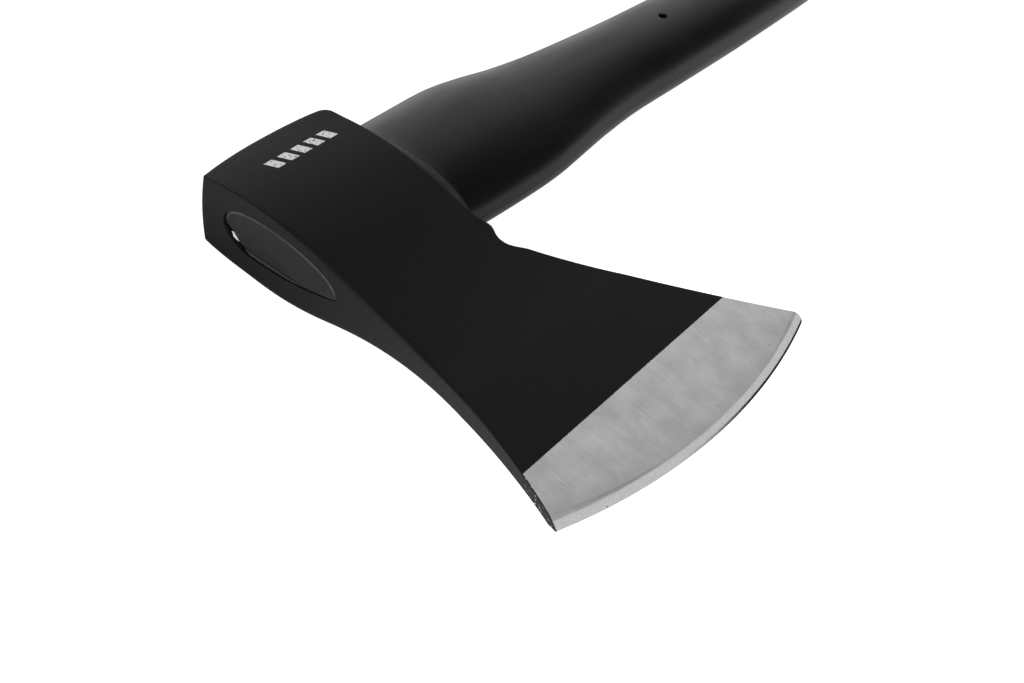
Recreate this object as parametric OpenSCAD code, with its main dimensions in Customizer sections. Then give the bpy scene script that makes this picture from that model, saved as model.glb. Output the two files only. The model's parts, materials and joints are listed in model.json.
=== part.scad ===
// Felling axe: a drop-forged steel head bonded with resin to a plastic handle
// that is moulded over a fibreglass core, with a rubber grip sleeve.
//
// Axe frame: X runs from the eye towards the cutting edge, Y from the top of the
// head down the handle, Z across the head. The blade's mid-plane is z = 0.
// lay() then sets the axe down on its cheek, its cutting edge and its knob.

/* [Head] */
// Length of the head from poll to cutting edge
head_length = 177; // [171:1:185]
// Distance from the middle of the eye to the back of the poll
poll_back = 40; // [38.5:0.5:41.5]
// Radius of the poll's domed face
poll_radius = 97.5; // [90:2.5:110]
// Height of the lug that holds the eye
lug_height = 53; // [50:1:58]
// Greatest thickness, across the eye
head_thickness = 32; // [32:0.5:34]
// Half thickness where the concave flank ends and the flat blade begins
blade_half = 3.9; // [3.5:0.1:4.5]
// Half thickness of the blade at the cutting edge, before the edge is ground
bit_half = 1.1; // [0.9:0.1:1.6]
// Radius of the curved cutting edge
edge_radius = 188; // [170:2:210]
// Level of the furthest point of the cutting edge
edge_level = 47.5; // [44:0.5:52]
// Level of the toe, the upper corner of the cutting edge
toe_level = -19; // [-24:1:-14]
// Level of the heel, the lower corner of the cutting edge
heel_level = 100; // [95:1:105]
// Radius of the rounded heel
heel_radius = 3; // [2:0.5:4]
// Slope of each side of the ground cutting edge
edge_bevel_angle = 22; // [18:1:28]

/* [Eye] */
// Length of the eye
eye_length = 49.5; // [46:0.5:50]
// Width of the eye
eye_width = 17.8; // [17:0.2:18.6]
// How far the punched eye sits off the blade's mid-plane
eye_offset = 1.8; // [0:0.2:2]
// Gap between tenon and eye that the resin fills
resin_gap = 0.6; // [0.5:0.1:1]
// Depth of the tenon's end below the top of the head
tenon_recess = 0.4; // [0.2:0.1:1]
// Thickness of the bead of resin between the head and the handle's shoulder
resin_bead = 3.2; // [2.4:0.2:3.6]
// Depth of the resin below the top of the head
resin_recess = 1.4; // [1.1:0.1:3]

/* [Handle] */
// Length of the whole axe, from the top of the head to the butt
axe_length = 700; // [690:1:720]
// Width of the fibreglass core
core_width = 16; // [14:0.5:17]
// Thickness of the fibreglass core
core_thickness = 7; // [5:0.5:7.5]
// Distance of the straight core from the middle of the eye
core_offset = 2.5; // [1.5:0.5:3]
// Diameter of the small holes left by the pins that held the core in the mould
locator_diameter = 3; // [2.5:0.1:3.5]
// Diameter of the hanging hole through the knob
hang_hole_diameter = 11; // [8:0.5:12]
// Distance of the hanging hole from the butt
hang_hole_from_butt = 25; // [22:1:28]

/* [Grip] */
// Level where the rubber sleeve begins
grip_start = 428; // [410:1:440]
// Level where the rubber sleeve ends
grip_end = 636; // [630:1:640]
// Thickness of the rubber sleeve
grip_thickness = 2.8; // [2:0.1:3]
// Height of the sleeve above the plastic beside it
grip_proud = 0.6; // [0.3:0.1:1]

/* [Hidden] */

side_count = 36;            // sides of every handle section
section_power = 2.15;       // 2 is an ellipse, more is squarer
edge_half = 0.25;           // half thickness of the honed edge itself
poll_dome_z = -7.5;         // where across the head the dome of the poll stands furthest out
poll_square = 37;           // where the rounded corners begin, seen from the side
upper_corner = 2;           // radius of the poll's upper corner, seen from the side
lower_corner = 4.5;         // radius of the poll's lower corner, seen from the side
far = 400;                  // longer than anything it cuts
bead_steps = [[0, 1.9], [0.25, 1.7], [0.55, 1.2], [0.85, 0.55], [1, 0.2]];  // [share, growth]
shoulder_steps = [[0, 0.2], [0.6, 0.15], [1.3, 0.07], [2.5, 0]];            // [level, growth]

// The handle's sections: [level, sideways offset, half width, half thickness].
SECTIONS = [
    [lug_height, 0.2, 29.0, 13.2],
    [72, 0.9, 29.6, 13.4],
    [92, 1.5, 29.7, 13.5],
    [104, 2.6, 28.3, 13.4],
    [118, 4.1, 25.4, 13.2],
    [134, 5.1, 22.8, 13.1],
    [154, 6.1, 20.9, 13.0],
    [182, 8.1, 19.8, 12.9],
    [225, 10.1, 19.1, 12.7],
    [290, 10.7, 18.6, 12.5],
    [360, 7.7, 18.0, 12.4],
    [430, 3.0, 17.5, 12.5],
    [500, -0.8, 17.2, 12.8],
    [565, -2.4, 17.3, 13.2],
    [612, -1.6, 18.4, 13.8],
    [642, 0.4, 20.8, 14.4],
    [664, 3.2, 23.0, 14.8],
    [684, 4.6, 23.6, 14.8],
    [693, 4.7, 21.6, 13.1],
    [698, 4.7, 17.6, 9.8],
    [axe_length, 4.7, 13.0, 6.4]
];

edge_x = head_length - poll_back;
edge_center = [edge_x - edge_radius, edge_level];
toe_x = edge_center.x + sqrt(pow(edge_radius, 2) - pow(toe_level - edge_level, 2));
heel_x = edge_center.x + sqrt(pow(edge_radius, 2) - pow(heel_level - edge_level, 2));

// Side view: the hollow below the toe, and the notch between lug and beard.
hollow_x = 30;              // where the hollow is deepest
hollow_depth = 0.5;         // how far it dips below the lug's top face
hollow_radius = (pow(toe_x - hollow_x, 2) + pow(hollow_depth - toe_level, 2)) / (2 * (hollow_depth - toe_level));
notch_radius = 7;
notch_x = 45;
notch_depth = 1.2;
beard_start = 51;           // where the lower line of the blade begins
beard_drop = 2;             // how far below the lug it begins
beard_sag = 1.5;            // how far that line hollows

// Top view: a convex cheek that runs tangent into a concave flank.
cheek_half = head_thickness / 2;
cheek_x = -7.5;             // where the head is thickest
cheek_radius = 100;
cheek_back_radius = 120;    // from there to the poll
flank_start = 20;           // where the cheek turns into the flank
flank_end = 80;             // where the flank turns into the flat blade
flank_slope = (flank_start - cheek_x) / cheek_radius;
flank_radius = (flank_end - flank_start) / flank_slope;

// How the axe lies: the tangent from the shoulder of the ground edge to the lower cheek.
bevel_run = (bit_half - edge_half) / (tan(edge_bevel_angle) - (blade_half - bit_half) / (edge_x - flank_end));
bevel_shoulder = [edge_x - bevel_run, edge_half + bevel_run * tan(edge_bevel_angle)];
cheek_center = cheek_radius - cheek_half;
lie = [bevel_shoulder.x - cheek_x, cheek_center + bevel_shoulder.y];
lean = atan2(lie.x, lie.y) - acos(cheek_radius / norm(lie));
rest_depth = bevel_shoulder.x * sin(lean) + bevel_shoulder.y * cos(lean);
poll_foot = let (z = -cheek_height(poll_face(-cheek_height(-poll_back)))) [poll_face(z), z];
box_left = poll_foot.x * cos(lean) + poll_foot.y * sin(lean);
box_right = edge_x * cos(lean) + edge_half * sin(lean);
box_middle = [(box_left + box_right) / 2, (toe_level + axe_length) / 2];

hang_level = axe_length - hang_hole_from_butt;
locator_levels = [189, 392];

// ---------- Functions ----------

// Points on an arc from angle a to angle b, in n steps.
function arc(center, radius, a, b, n) =
    [for (i = [0:n]) let (t = a + (b - a) * i / n) center + radius * [cos(t), sin(t)]];

function cheek_height(x) =
    cheek_half - pow(x - cheek_x, 2) / (2 * (x > cheek_x ? cheek_radius : cheek_back_radius));
// X of the poll's domed face half way down the lug.
function poll_face(z) = poll_radius - poll_back - sqrt(pow(poll_radius, 2) - pow(z - poll_dome_z, 2));
function flank_height(x) =
    cheek_height(flank_start)
    - (pow(flank_end - flank_start, 2) - pow(flank_end - x, 2)) / (2 * flank_radius);
function blade_scale() = (cheek_height(flank_start) - blade_half)
    / (cheek_height(flank_start) - flank_height(flank_end));

// One cheek of the head seen from above, from poll to edge.
function cheek_line() = concat(
    [for (i = [0:20]) let (x = -poll_back - 2 + (flank_start + poll_back + 2) * i / 20) [x, cheek_height(x)]],
    [for (i = [1:14]) let (x = flank_start + (flank_end - flank_start) * i / 14)
        [x, cheek_height(flank_start) - (cheek_height(flank_start) - flank_height(x)) * blade_scale()]],
    [[edge_x, bit_half], [edge_x + 4, bit_half]]);
function mirrored(points) = [for (i = [len(points) - 1:-1:0]) [points[i].x, -points[i].y]];
function plan_outline() = concat(cheek_line(), mirrored(cheek_line()));

// The head seen from the side, drawn past the cutting edge, which is trimmed later.
function side_outline() = let (
        past = edge_x + 12,
        hollow_center = [hollow_x, hollow_depth - hollow_radius],
        hollow_from = 90 + acos((hollow_radius - hollow_depth) / hollow_radius),
        hollow_to = acos((past - hollow_x) / hollow_radius),
        beard = [heel_x - beard_start, heel_level - lug_height - beard_drop],
        beard_slope = beard.y / beard.x + 4 * beard_sag / beard.x,
        notch_center = [notch_x, lug_height - notch_depth + notch_radius],
        notch_half = acos((notch_radius - notch_depth) / notch_radius),
        notch_meets = acos((notch_center.y - lug_height - beard_drop) / notch_radius),
        along = [1, beard_slope] / norm([1, beard_slope]),
        inward = [along.y, -along.x],
        start = [heel_x, heel_level] + heel_radius * inward - edge_center,
        slide = sqrt(pow(start * along, 2) - start * start + pow(edge_radius - heel_radius, 2)) - start * along,
        heel_center = edge_center + start + slide * along,
        outward = (heel_center - edge_center) / (edge_radius - heel_radius),
        heel_end = heel_center + heel_radius * outward
    ) concat(
        [[-poll_back - 2, lug_height - 13], [-poll_back - 2, 12]],
        arc([upper_corner - poll_square, upper_corner], upper_corner, 180, 270, 6),
        arc(hollow_center, hollow_radius, hollow_from, hollow_to, 26),
        [[past, heel_end.y - (past - heel_end.x) * outward.x / outward.y]],
        arc(heel_center, heel_radius, atan2(outward.y, outward.x), atan2(-inward.y, -inward.x), 8),
        [for (i = [19:-1:1]) let (u = i / 20) [beard_start, lug_height + beard_drop]
            + u * beard - [0, 4 * beard_sag * u * (1 - u)]],
        arc(notch_center, notch_radius, -90 + notch_meets, -90 - notch_half, 8),
        arc([lower_corner - poll_square, lug_height - lower_corner], lower_corner, 90, 180, 6));

// The eye: blunt at the poll end, tapering to the bit end, and fuller above its
// middle line than below. It is shrunk all round by inset.
function bow(x, reach, peak, blunt, taper) = x > peak
    ? pow(max(0, 1 - pow((x - peak) / (reach - peak), 2)), taper)
    : pow(max(0, 1 - pow((x - peak) / (reach + peak), 2)), blunt);
function eye_outline(inset) = let (
        reach = eye_length / 2 - 1.2 * inset,
        above = eye_width / 2 + eye_offset - inset,
        below = eye_width / 2 - eye_offset - inset
    ) concat(
        [for (t = [180:-9:0]) let (x = reach * cos(t)) [x, above * bow(x, reach, -3, 0.36, 0.45)]],
        [for (t = [9:9:171]) let (x = reach * cos(t)) [x, -below * bow(x, reach, -14, 0.6, 0.9)]]);

function core_outline() = let (r = core_thickness / 2, reach = core_width / 2 - r) concat(
    arc([core_offset + reach, 0], r, 90, -90, 12),
    arc([core_offset - reach, 0], r, -90, -270, 12));

// A smooth curve through SECTIONS: value k of the section at a level.
function span(level, i = 0) =
    i >= len(SECTIONS) - 2 || level <= SECTIONS[i + 1][0] ? i : span(level, i + 1);
function tangent(i, k) = let (a = max(i - 1, 0), b = min(i + 1, len(SECTIONS) - 1))
    (SECTIONS[b][k] - SECTIONS[a][k]) / (SECTIONS[b][0] - SECTIONS[a][0]);
function smooth(level, k) = let (
        i = span(level),
        step = SECTIONS[i + 1][0] - SECTIONS[i][0],
        t = (level - SECTIONS[i][0]) / step
    ) SECTIONS[i][k] * (2 * t * t * t - 3 * t * t + 1)
    + SECTIONS[i + 1][k] * (3 * t * t - 2 * t * t * t)
    + step * tangent(i, k) * (t * t * t - 2 * t * t + t)
    + step * tangent(i + 1, k) * (t * t * t - t * t);

function signed_power(v, p) = sign(v) * pow(abs(v), p);
// The handle's section at a level, grown by a margin.
function ring(level, grow) = [for (i = [0:side_count - 1]) let (t = 360 * i / side_count) [
    smooth(level, 1) + (smooth(level, 2) + grow) * signed_power(cos(t), 2 / section_power),
    level,
    (smooth(level, 3) + grow) * signed_power(sin(t), 2 / section_power)]];

function levels(from, to, step) = let (n = ceil((to - from) / step)) [for (i = [0:n]) from + (to - from) * i / n];

// ---------- Shared modules ----------

// Sets the axe down: it leans until cheek, edge and knob touch the ground.
module lay() {
    translate([-box_middle.x, -box_middle.y, rest_depth]) rotate([0, lean, 0]) children();
}

// Stands a drawing made in X and Z along Y, between two levels.
module along_handle(from, to) {
    translate([0, to, 0]) rotate([90, 0, 0]) linear_extrude(to - from) children();
}

// Quads between neighbouring rings, as triangles; loop joins the last ring to the first.
function skin(rings, loop) = [
    for (r = [0:len(rings) - (loop ? 1 : 2)]) for (i = [0:side_count - 1])
        let (a = r * side_count, b = (r + 1) % len(rings) * side_count, j = (i + 1) % side_count)
        each [[a + i, b + j, b + i], [a + i, a + j, b + j]]];

module solid_loft(rings) {
    last = (len(rings) - 1) * side_count;
    polyhedron(
        [for (r = rings) each r],
        concat(
            skin(rings, false),
            [[for (i = [side_count - 1:-1:0]) i]],
            [[for (i = [0:side_count - 1]) last + i]]));
}

module tube_loft(outer, inner) {
    rings = concat(outer, [for (i = [len(inner) - 1:-1:0]) inner[i]]);
    polyhedron([for (r = rings) each r], skin(rings, true));
}

module eye_prism(inset, from, to) {
    along_handle(from, to) polygon(eye_outline(inset));
}

// The corner that the resin failed to fill, at the poll end of the eye.
module resin_void(depth) {
    translate([-24.5, -1, 0.5]) rotate([0, 27, 0]) translate([-10, 0, -20]) cube([25, depth + 1, 20]);
}

// ---------- Sub-parts ----------

module head_blank() {
    intersection() {
        translate([0, 0, -head_thickness]) linear_extrude(2 * head_thickness) polygon(side_outline());
        along_handle(toe_level - 30, heel_level + 30) polygon(plan_outline());
        translate([edge_center.x, edge_center.y, 0]) edge_grind();
        translate([poll_radius - poll_back, lug_height / 2, poll_dome_z]) sphere(r = poll_radius, $fn = 120);
    }
}

// A lens of revolution, whose rim is the cutting edge with its two ground bevels.
module edge_grind() {
    rise = head_thickness;
    run = (rise - edge_half) / tan(edge_bevel_angle);
    rotate_extrude($fn = 180) polygon([
        [0, -rise], [edge_radius - run, -rise], [edge_radius, -edge_half],
        [edge_radius, edge_half], [edge_radius - run, rise], [0, rise]]);
}

module axe_head() {
    color("#1c1c1d") lay() difference() {
        head_blank();
        eye_prism(0, -20, lug_height + 20);
    }
}

module tenon() {
    difference() {
        eye_prism(resin_gap, tenon_recess, lug_height + 10);
        resin_void(7);
    }
}

module core_shape(margin = 0) {
    along_handle(tenon_recess + 3 - margin, axe_length - 52 + margin) polygon(core_outline());
}

module handle_body() {
    recess = grip_thickness - grip_proud;
    start = lug_height + resin_bead;
    solid_loft(concat(
        [for (step = shoulder_steps) ring(start + step[0], step[1])],
        [for (y = levels(start + 6, 180, 6)) ring(y, 0)],
        [for (y = levels(192, grip_start, 16)) ring(y, 0)],
        [for (y = levels(grip_start, grip_end, 16)) ring(y, -recess)],
        [for (y = levels(grip_end, 684, 6)) ring(y, 0)],
        [for (y = [689, 693, 696, 698, axe_length]) ring(y, 0)]));
}

module handle_jacket() {
    color("#222223") lay() difference() {
        union() {
            handle_body();
            tenon();
        }
        core_shape();
        for (y = locator_levels)
            translate([smooth(y, 1), y, -far / 2]) cylinder(d = locator_diameter, h = far, $fn = 48);
        translate([smooth(hang_level, 1), hang_level, -far / 2])
            cylinder(d = hang_hole_diameter, h = far, $fn = 96);
    }
}

module fibreglass_core() {
    color("#c9c39a") lay() core_shape();
}

module eye_resin() {
    color("#151512") lay() difference() {
        union() {
            eye_prism(0, resin_recess, lug_height);
            solid_loft([for (step = bead_steps) ring(lug_height + step[0] * resin_bead, step[1])]);
        }
        eye_prism(resin_gap, -20, lug_height + 20);
        resin_void(8);
    }
}

module grip_sleeve() {
    recess = grip_thickness - grip_proud;
    inside = levels(grip_start, grip_end, 16);
    outside = concat([grip_start], [for (y = levels(grip_start + 2, grip_end - 2, 16)) y], [grip_end]);
    color("#2b2b2d") lay() tube_loft(
        [for (y = outside) ring(y, y == grip_start || y == grip_end ? 0 : grip_proud)],
        [for (y = inside) ring(y, -recess)]);
}

axe_head();
handle_jacket();
fibreglass_core();
eye_resin();
grip_sleeve();
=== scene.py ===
"""Felling axe, lying on its cheek: finished head, handle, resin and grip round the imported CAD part.

Every shape is worked out in the axe's own frame, in millimetres: X runs from the eye towards
the cutting edge, Y from the top of the head down the handle, Z across the head. to_row() then
lays it down in the row frame, in metres, exactly where the CAD nodes are.
"""

import json
import math

import bmesh
import bpy
import numpy as np
from mathutils import Matrix, Vector, noise


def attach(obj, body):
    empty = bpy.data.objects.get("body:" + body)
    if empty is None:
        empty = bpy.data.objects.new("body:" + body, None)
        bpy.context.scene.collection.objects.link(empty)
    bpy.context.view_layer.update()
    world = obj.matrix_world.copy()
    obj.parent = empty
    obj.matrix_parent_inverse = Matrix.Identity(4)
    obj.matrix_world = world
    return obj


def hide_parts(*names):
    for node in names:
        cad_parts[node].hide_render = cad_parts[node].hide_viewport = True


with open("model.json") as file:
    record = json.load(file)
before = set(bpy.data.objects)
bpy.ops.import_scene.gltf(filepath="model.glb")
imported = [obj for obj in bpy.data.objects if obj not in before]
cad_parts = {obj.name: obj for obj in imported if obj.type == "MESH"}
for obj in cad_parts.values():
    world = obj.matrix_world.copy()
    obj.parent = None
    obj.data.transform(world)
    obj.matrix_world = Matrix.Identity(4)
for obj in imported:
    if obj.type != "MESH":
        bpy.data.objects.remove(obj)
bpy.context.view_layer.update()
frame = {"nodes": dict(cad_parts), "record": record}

# ---------- Sizes, in mm, in the axe's frame ----------

# The head's main lines, as in the CAD: poll, cheeks, flank, blade, edge, hollow, notch and beard.
HEAD_LENGTH = 177.0
POLL_BACK = 40.0
POLL_RADIUS = 97.5
POLL_DOME_Z = -7.5
LUG_HEIGHT = 53.0
CHEEK_HALF = 16.0
CHEEK_X = -7.5
CHEEK_RADIUS = 100.0
CHEEK_BACK_RADIUS = 120.0
FLANK_START = 20.0
FLANK_END = 80.0
BLADE_HALF = 3.9
BIT_HALF = 1.1
EDGE_HALF = 0.14
EDGE_RADIUS = 188.0
EDGE_LEVEL = 47.5
TOE_LEVEL = -19.0
HEEL_LEVEL = 100.0
HEEL_RADIUS = 2.6
BEVEL_SLOPE = math.tan(math.radians(22))
HOLLOW_X = 30.0
HOLLOW_DEPTH = 0.5
NOTCH_X = 45.0
NOTCH_RADIUS = 7.0
NOTCH_DEPTH = 1.2
BEARD_START = 51.0
BEARD_DROP = 2.0
BEARD_SAG = 1.5

# Small clearances that keep the cheeks and the cutting edge inside the CAD's box.
SKIN_CLEARANCE = 0.01
EDGE_CLEARANCE = 0.02

# Where the grid of the head ends before the poll's dome, and where it starts to follow the dome.
POLL_COLUMN = -34.4
POLL_REACH = -8.0

# The forging's own shape: rounded borders, a lip under the lug, and a poll end a little uneven.
UPPER_CORNER = 1.3
LOWER_CORNER = 3.4
RIDGE_ROUND = 0.45
RIDGE_ROUND_MIDDLE = 1.0
UNDER_ROUND = 0.3
LUG_ROUND = 1.3
POLL_ROUND = 1.0
POLL_ROUND_MIDDLE = 2.1
FAR_RISE = 0.5
LOWER_FILL = 1.4
LUG_LIP = 1.0
LINE_SOFTENING = 1.3
WALL_BULGE = 0.3
WALL_STEPS = 15

# Where the coating ends, and the plain mark printed on the cheek.
PAINT_LINE = 107.5
MARK_X = -24.0
MARK_Y = 16.0
MARK_HEIGHT = 5.0
MARK_BARS = 5
MARK_PITCH = 5.6
MARK_FILL = 0.62
MARK_SLANT = 0.35

# The eye, the tenon's gap all round and along its lower side, and the resin. Each side of the
# eye has a bow: where it is widest, how blunt it is behind that and how tapered in front.
EYE_LENGTH = 49.5
EYE_WIDTH = 17.8
EYE_OFFSET = 1.8
EYE_POINTS = 96
UPPER_BOW = (-3, 0.36, 0.45)
LOWER_BOW = (-14, 0.6, 0.9)
PLUG_GAP = 0.3
LOWER_GAP = 1.5
RESIN_RECESS = 0.5
RESIN_OVERLAP = 0.04
RESIN_CROWN = 0.36

# The bead at the shoulder: its height, how far it stands out, and how deep it reaches inside.
RESIN_BEAD = 3.2
BEAD_GROWTH = 1.9
BEAD_LEAST = 0.9
BEAD_MOST = 3.4
BEAD_INSIDE = -7.0
BEAD_FOOT = -0.14
BEAD_PROFILE = (
    (BEAD_FOOT, 1.0), (0.0, 1.0), (0.1, 0.97), (0.22, 0.88), (0.35, 0.75), (0.5, 0.57), (0.65, 0.4),
    (0.8, 0.24), (0.93, 0.13), (1.0, 0.07),
)

# The corner of the eye left unfilled, in X and Z, and the level it reaches down to.
VOID_OUTLINE = (
    (-28, 0.4), (-24.6, 0.3), (-23.6, 0.6), (-22.6, 0.3), (-21.6, -0.6), (-20.7, -1.5), (-19.8, -2.3),
    (-19.0, -3.2), (-18.2, -4.0), (-17.4, -4.6), (-16.4, -4.9), (-15.6, -5.6), (-14.2, -6.4),
    (-13, -7.6), (-13, -12), (-28, -12),
)
VOID_TOP = -2.0
VOID_DEPTH = 7.0

# The handle, its rubber sleeve, and its holes.
AXE_LENGTH = 700.0
GRIP_START = 428.0
GRIP_END = 636.0
GRIP_THICKNESS = 2.8
GRIP_PROUD = 0.6
GRIP_BAND_PITCH = 8.0
GRIP_BAND_DEPTH = 0.45
LOCATOR_LEVELS = (189.0, 392.0)
LOCATOR_RADIUS = 1.5
HANG_LEVEL = 675.0
HANG_RADIUS = 5.5
CUTTER_REACH = 30.0
SECTION_POWER = 2.15

# The handle's sections: level, sideways offset, half width, half thickness.
SECTIONS = np.array([
    (53, 0.2, 29.0, 13.2),
    (72, 0.9, 29.6, 13.4),
    (92, 1.5, 29.7, 13.5),
    (104, 2.6, 28.3, 13.4),
    (118, 4.1, 25.4, 13.2),
    (134, 5.1, 22.8, 13.1),
    (154, 6.1, 20.9, 13.0),
    (182, 8.1, 19.8, 12.9),
    (225, 10.1, 19.1, 12.7),
    (290, 10.7, 18.6, 12.5),
    (360, 7.7, 18.0, 12.4),
    (430, 3.0, 17.5, 12.5),
    (500, -0.8, 17.2, 12.8),
    (565, -2.4, 17.3, 13.2),
    (612, -1.6, 18.4, 13.8),
    (642, 0.4, 20.8, 14.4),
    (664, 3.2, 23.0, 14.8),
    (684, 4.6, 23.6, 14.8),
    (693, 4.7, 21.6, 13.1),
    (698, 4.7, 17.6, 9.8),
    (700, 4.7, 13.0, 6.4),
])

EDGE_X = HEAD_LENGTH - POLL_BACK - EDGE_CLEARANCE
EDGE_CENTER = np.array([EDGE_X - EDGE_RADIUS, EDGE_LEVEL])


def edge_at(level):
    """X of the cutting edge at a level."""
    return EDGE_CENTER[0] + math.sqrt(EDGE_RADIUS ** 2 - (level - EDGE_LEVEL) ** 2)


TOE_X = edge_at(TOE_LEVEL)
HEEL_X = edge_at(HEEL_LEVEL)
TOE_RISE = HOLLOW_DEPTH - TOE_LEVEL
HOLLOW_RADIUS = ((TOE_X - HOLLOW_X) ** 2 + TOE_RISE ** 2) / (2 * TOE_RISE)


# ---------- Light and camera ----------

# The table as the camera sees it, as the axe mirrors it, and the painted shadow that darkens the mirrored
# table beside the axe.
HALF_FLOOR_M = 6.0
FLOOR_GLOW = 0.95
FLOOR_BOUNCE = 1.2
FLOOR_PAINTED_SHADOW = 1.18

# The light: a key from the left behind, a horizon that is darker in front, a fill by the camera.
KEY_DIRECTION = (-0.766, 0.643, 0.0)
KEY_STRENGTH = 1.35
FRONT_DIRECTION = (-0.5, -0.85, 0.0)
FRONT_STRENGTH = 0.2
FILL_DIRECTION = (0.466, -0.58, 0.668)
FILL_STRENGTH = 1.2
HORIZON_STRENGTH = 0.6
OVERHEAD_STRENGTH = 0.08

# The camera, worked out from the photograph's perspective, in metres in the row frame.
CAMERA_AZIMUTH = math.radians(38.817)
CAMERA_ELEVATION = math.radians(41.914)
CAMERA_ROLL = math.radians(1.578)
CAMERA_TARGET = Vector((0.024246, -0.31497, 0.007907))
CAMERA_DISTANCE = 0.38465
CAMERA_LENS = 45.7


# ---------- From the axe's frame to the row frame ----------

def smooth_section(levels):
    """Offset, half width and half thickness of the handle at each level, one row each."""
    known = SECTIONS[:, 0]
    levels = np.asarray(levels, float)
    i = np.clip(np.searchsorted(known, levels, side="left") - 1, 0, len(known) - 2)
    before = np.maximum(np.arange(len(known)) - 1, 0)
    after = np.minimum(np.arange(len(known)) + 1, len(known) - 1)
    slopes = (SECTIONS[after] - SECTIONS[before]) / (known[after] - known[before])[:, None]
    step = (known[i + 1] - known[i])[:, None]
    t = ((levels - known[i])[:, None]) / step
    start, end = SECTIONS[i], SECTIONS[i + 1]
    value = (
        start * (2 * t ** 3 - 3 * t ** 2 + 1)
        + end * (3 * t ** 2 - 2 * t ** 3)
        + step * slopes[i] * (t ** 3 - 2 * t ** 2 + t)
        + step * slopes[i + 1] * (t ** 3 - t ** 2)
    )
    return value[:, 1:]


hang_hole = next(m for m in frame["record"]["mounts"] if m["name"] == "hang_hole")
LEAN = math.atan2(hang_hole["axis"][0], hang_hole["axis"][2])
ROTATION = np.array([
    [math.cos(LEAN), 0, math.sin(LEAN)],
    [0, 1, 0],
    [-math.sin(LEAN), 0, math.cos(LEAN)],
])
hang_x = smooth_section([HANG_LEVEL])[0][0]
SHIFT = np.array(hang_hole["pos_m"]) * 1000 - ROTATION @ np.array([hang_x, HANG_LEVEL, 0])


def to_row(points):
    """Points in the axe's frame, in mm, as points in the row frame, in metres."""
    return (np.asarray(points, float) @ ROTATION.T + SHIFT) / 1000


# ---------- Mesh helpers ----------

def grid_faces(rows, columns, first=0, closed_rows=False, closed_columns=False, flip=False):
    """Quads over rows x columns of points numbered from first."""
    faces = []
    for r in range(rows if closed_rows else rows - 1):
        for c in range(columns if closed_columns else columns - 1):
            a = first + r * columns + c
            b = first + r * columns + (c + 1) % columns
            d = first + (r + 1) % rows * columns + c
            e = first + (r + 1) % rows * columns + (c + 1) % columns
            faces.append((a, d, e, b) if flip else (a, b, e, d))
    return faces


def make_object(name, points, faces):
    """A mesh object from points in the axe's frame."""
    mesh = bpy.data.meshes.new(name)
    mesh.from_pydata([tuple(p) for p in to_row(points)], [], faces)
    mesh.validate()
    obj = bpy.data.objects.new(name, mesh)
    bpy.context.scene.collection.objects.link(obj)
    return obj


def clean_up(obj, sharp_degrees):
    """Merges doubled points, points every face outwards and smooths all but sharp edges."""
    mesh = bmesh.new()
    mesh.from_mesh(obj.data)
    bmesh.ops.remove_doubles(mesh, verts=mesh.verts, dist=2e-6)
    bmesh.ops.dissolve_degenerate(mesh, edges=mesh.edges, dist=1e-6)
    bmesh.ops.recalc_face_normals(mesh, faces=mesh.faces)
    for face in mesh.faces:
        face.smooth = True
    limit = math.radians(sharp_degrees)
    for edge in mesh.edges:
        edge.smooth = len(edge.link_faces) == 2 and edge.calc_face_angle(math.pi) < limit
    mesh.to_mesh(obj.data)
    mesh.free()


def combine(obj, other, operation):
    """Cuts other from obj, or joins it on, and throws other away."""
    clean_up(obj, 180)
    clean_up(other, 180)
    modifier = obj.modifiers.new("combine", "BOOLEAN")
    modifier.operation = operation
    modifier.solver = "EXACT"
    modifier.object = other
    bpy.context.view_layer.update()
    depsgraph = bpy.context.evaluated_depsgraph_get()
    made = bpy.data.meshes.new_from_object(obj.evaluated_get(depsgraph))
    obj.modifiers.clear()
    obj.data = made
    bpy.data.objects.remove(other)


def finish_piece(obj, material, node, sharp_degrees):
    """Smooths a piece, gives it its material, hangs it under the root body and hides the CAD node it stands
    in for.
    """
    clean_up(obj, sharp_degrees)
    obj.data.materials.clear()
    obj.data.materials.append(material)
    for polygon in obj.data.polygons:
        polygon.material_index = 0
    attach(obj, "root")
    if node:
        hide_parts(node)


def smoothstep(low, high, value):
    t = np.clip((value - low) / (high - low), 0, 1)
    return t * t * (3 - 2 * t)


def wobble(points, size, seed):
    """Smooth noise from -1 to 1 at each point; size is the width of its lumps in mm."""
    shift = Vector((seed * 7.3, seed * 3.1, seed * 5.7))
    return np.array([noise.noise(Vector(p) / size + shift) for p in points])


# ---------- The forged head ----------

def cheek(x):
    """Half thickness of the head, seen from above."""
    x = np.asarray(x, float)
    bulge = CHEEK_HALF - (x - CHEEK_X) ** 2 / (2 * np.where(x > CHEEK_X, CHEEK_RADIUS, CHEEK_BACK_RADIUS))
    start = CHEEK_HALF - (FLANK_START - CHEEK_X) ** 2 / (2 * CHEEK_RADIUS)
    share = np.clip((FLANK_END - x) / (FLANK_END - FLANK_START), 0, 1)
    flank = BLADE_HALF + (start - BLADE_HALF) * share ** 2
    blade = BLADE_HALF + (BIT_HALF - BLADE_HALF) * (x - FLANK_END) / (EDGE_X - FLANK_END)
    return np.where(x < FLANK_START, bulge, np.where(x < FLANK_END, flank, blade))


def top_level(x):
    """Level of the head's upper outline."""
    hollow = HOLLOW_DEPTH - HOLLOW_RADIUS + np.sqrt(HOLLOW_RADIUS ** 2 - (x - HOLLOW_X) ** 2)
    return np.where(x < HOLLOW_X, HOLLOW_DEPTH * smoothstep(-5, HOLLOW_X, x), hollow)


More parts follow.
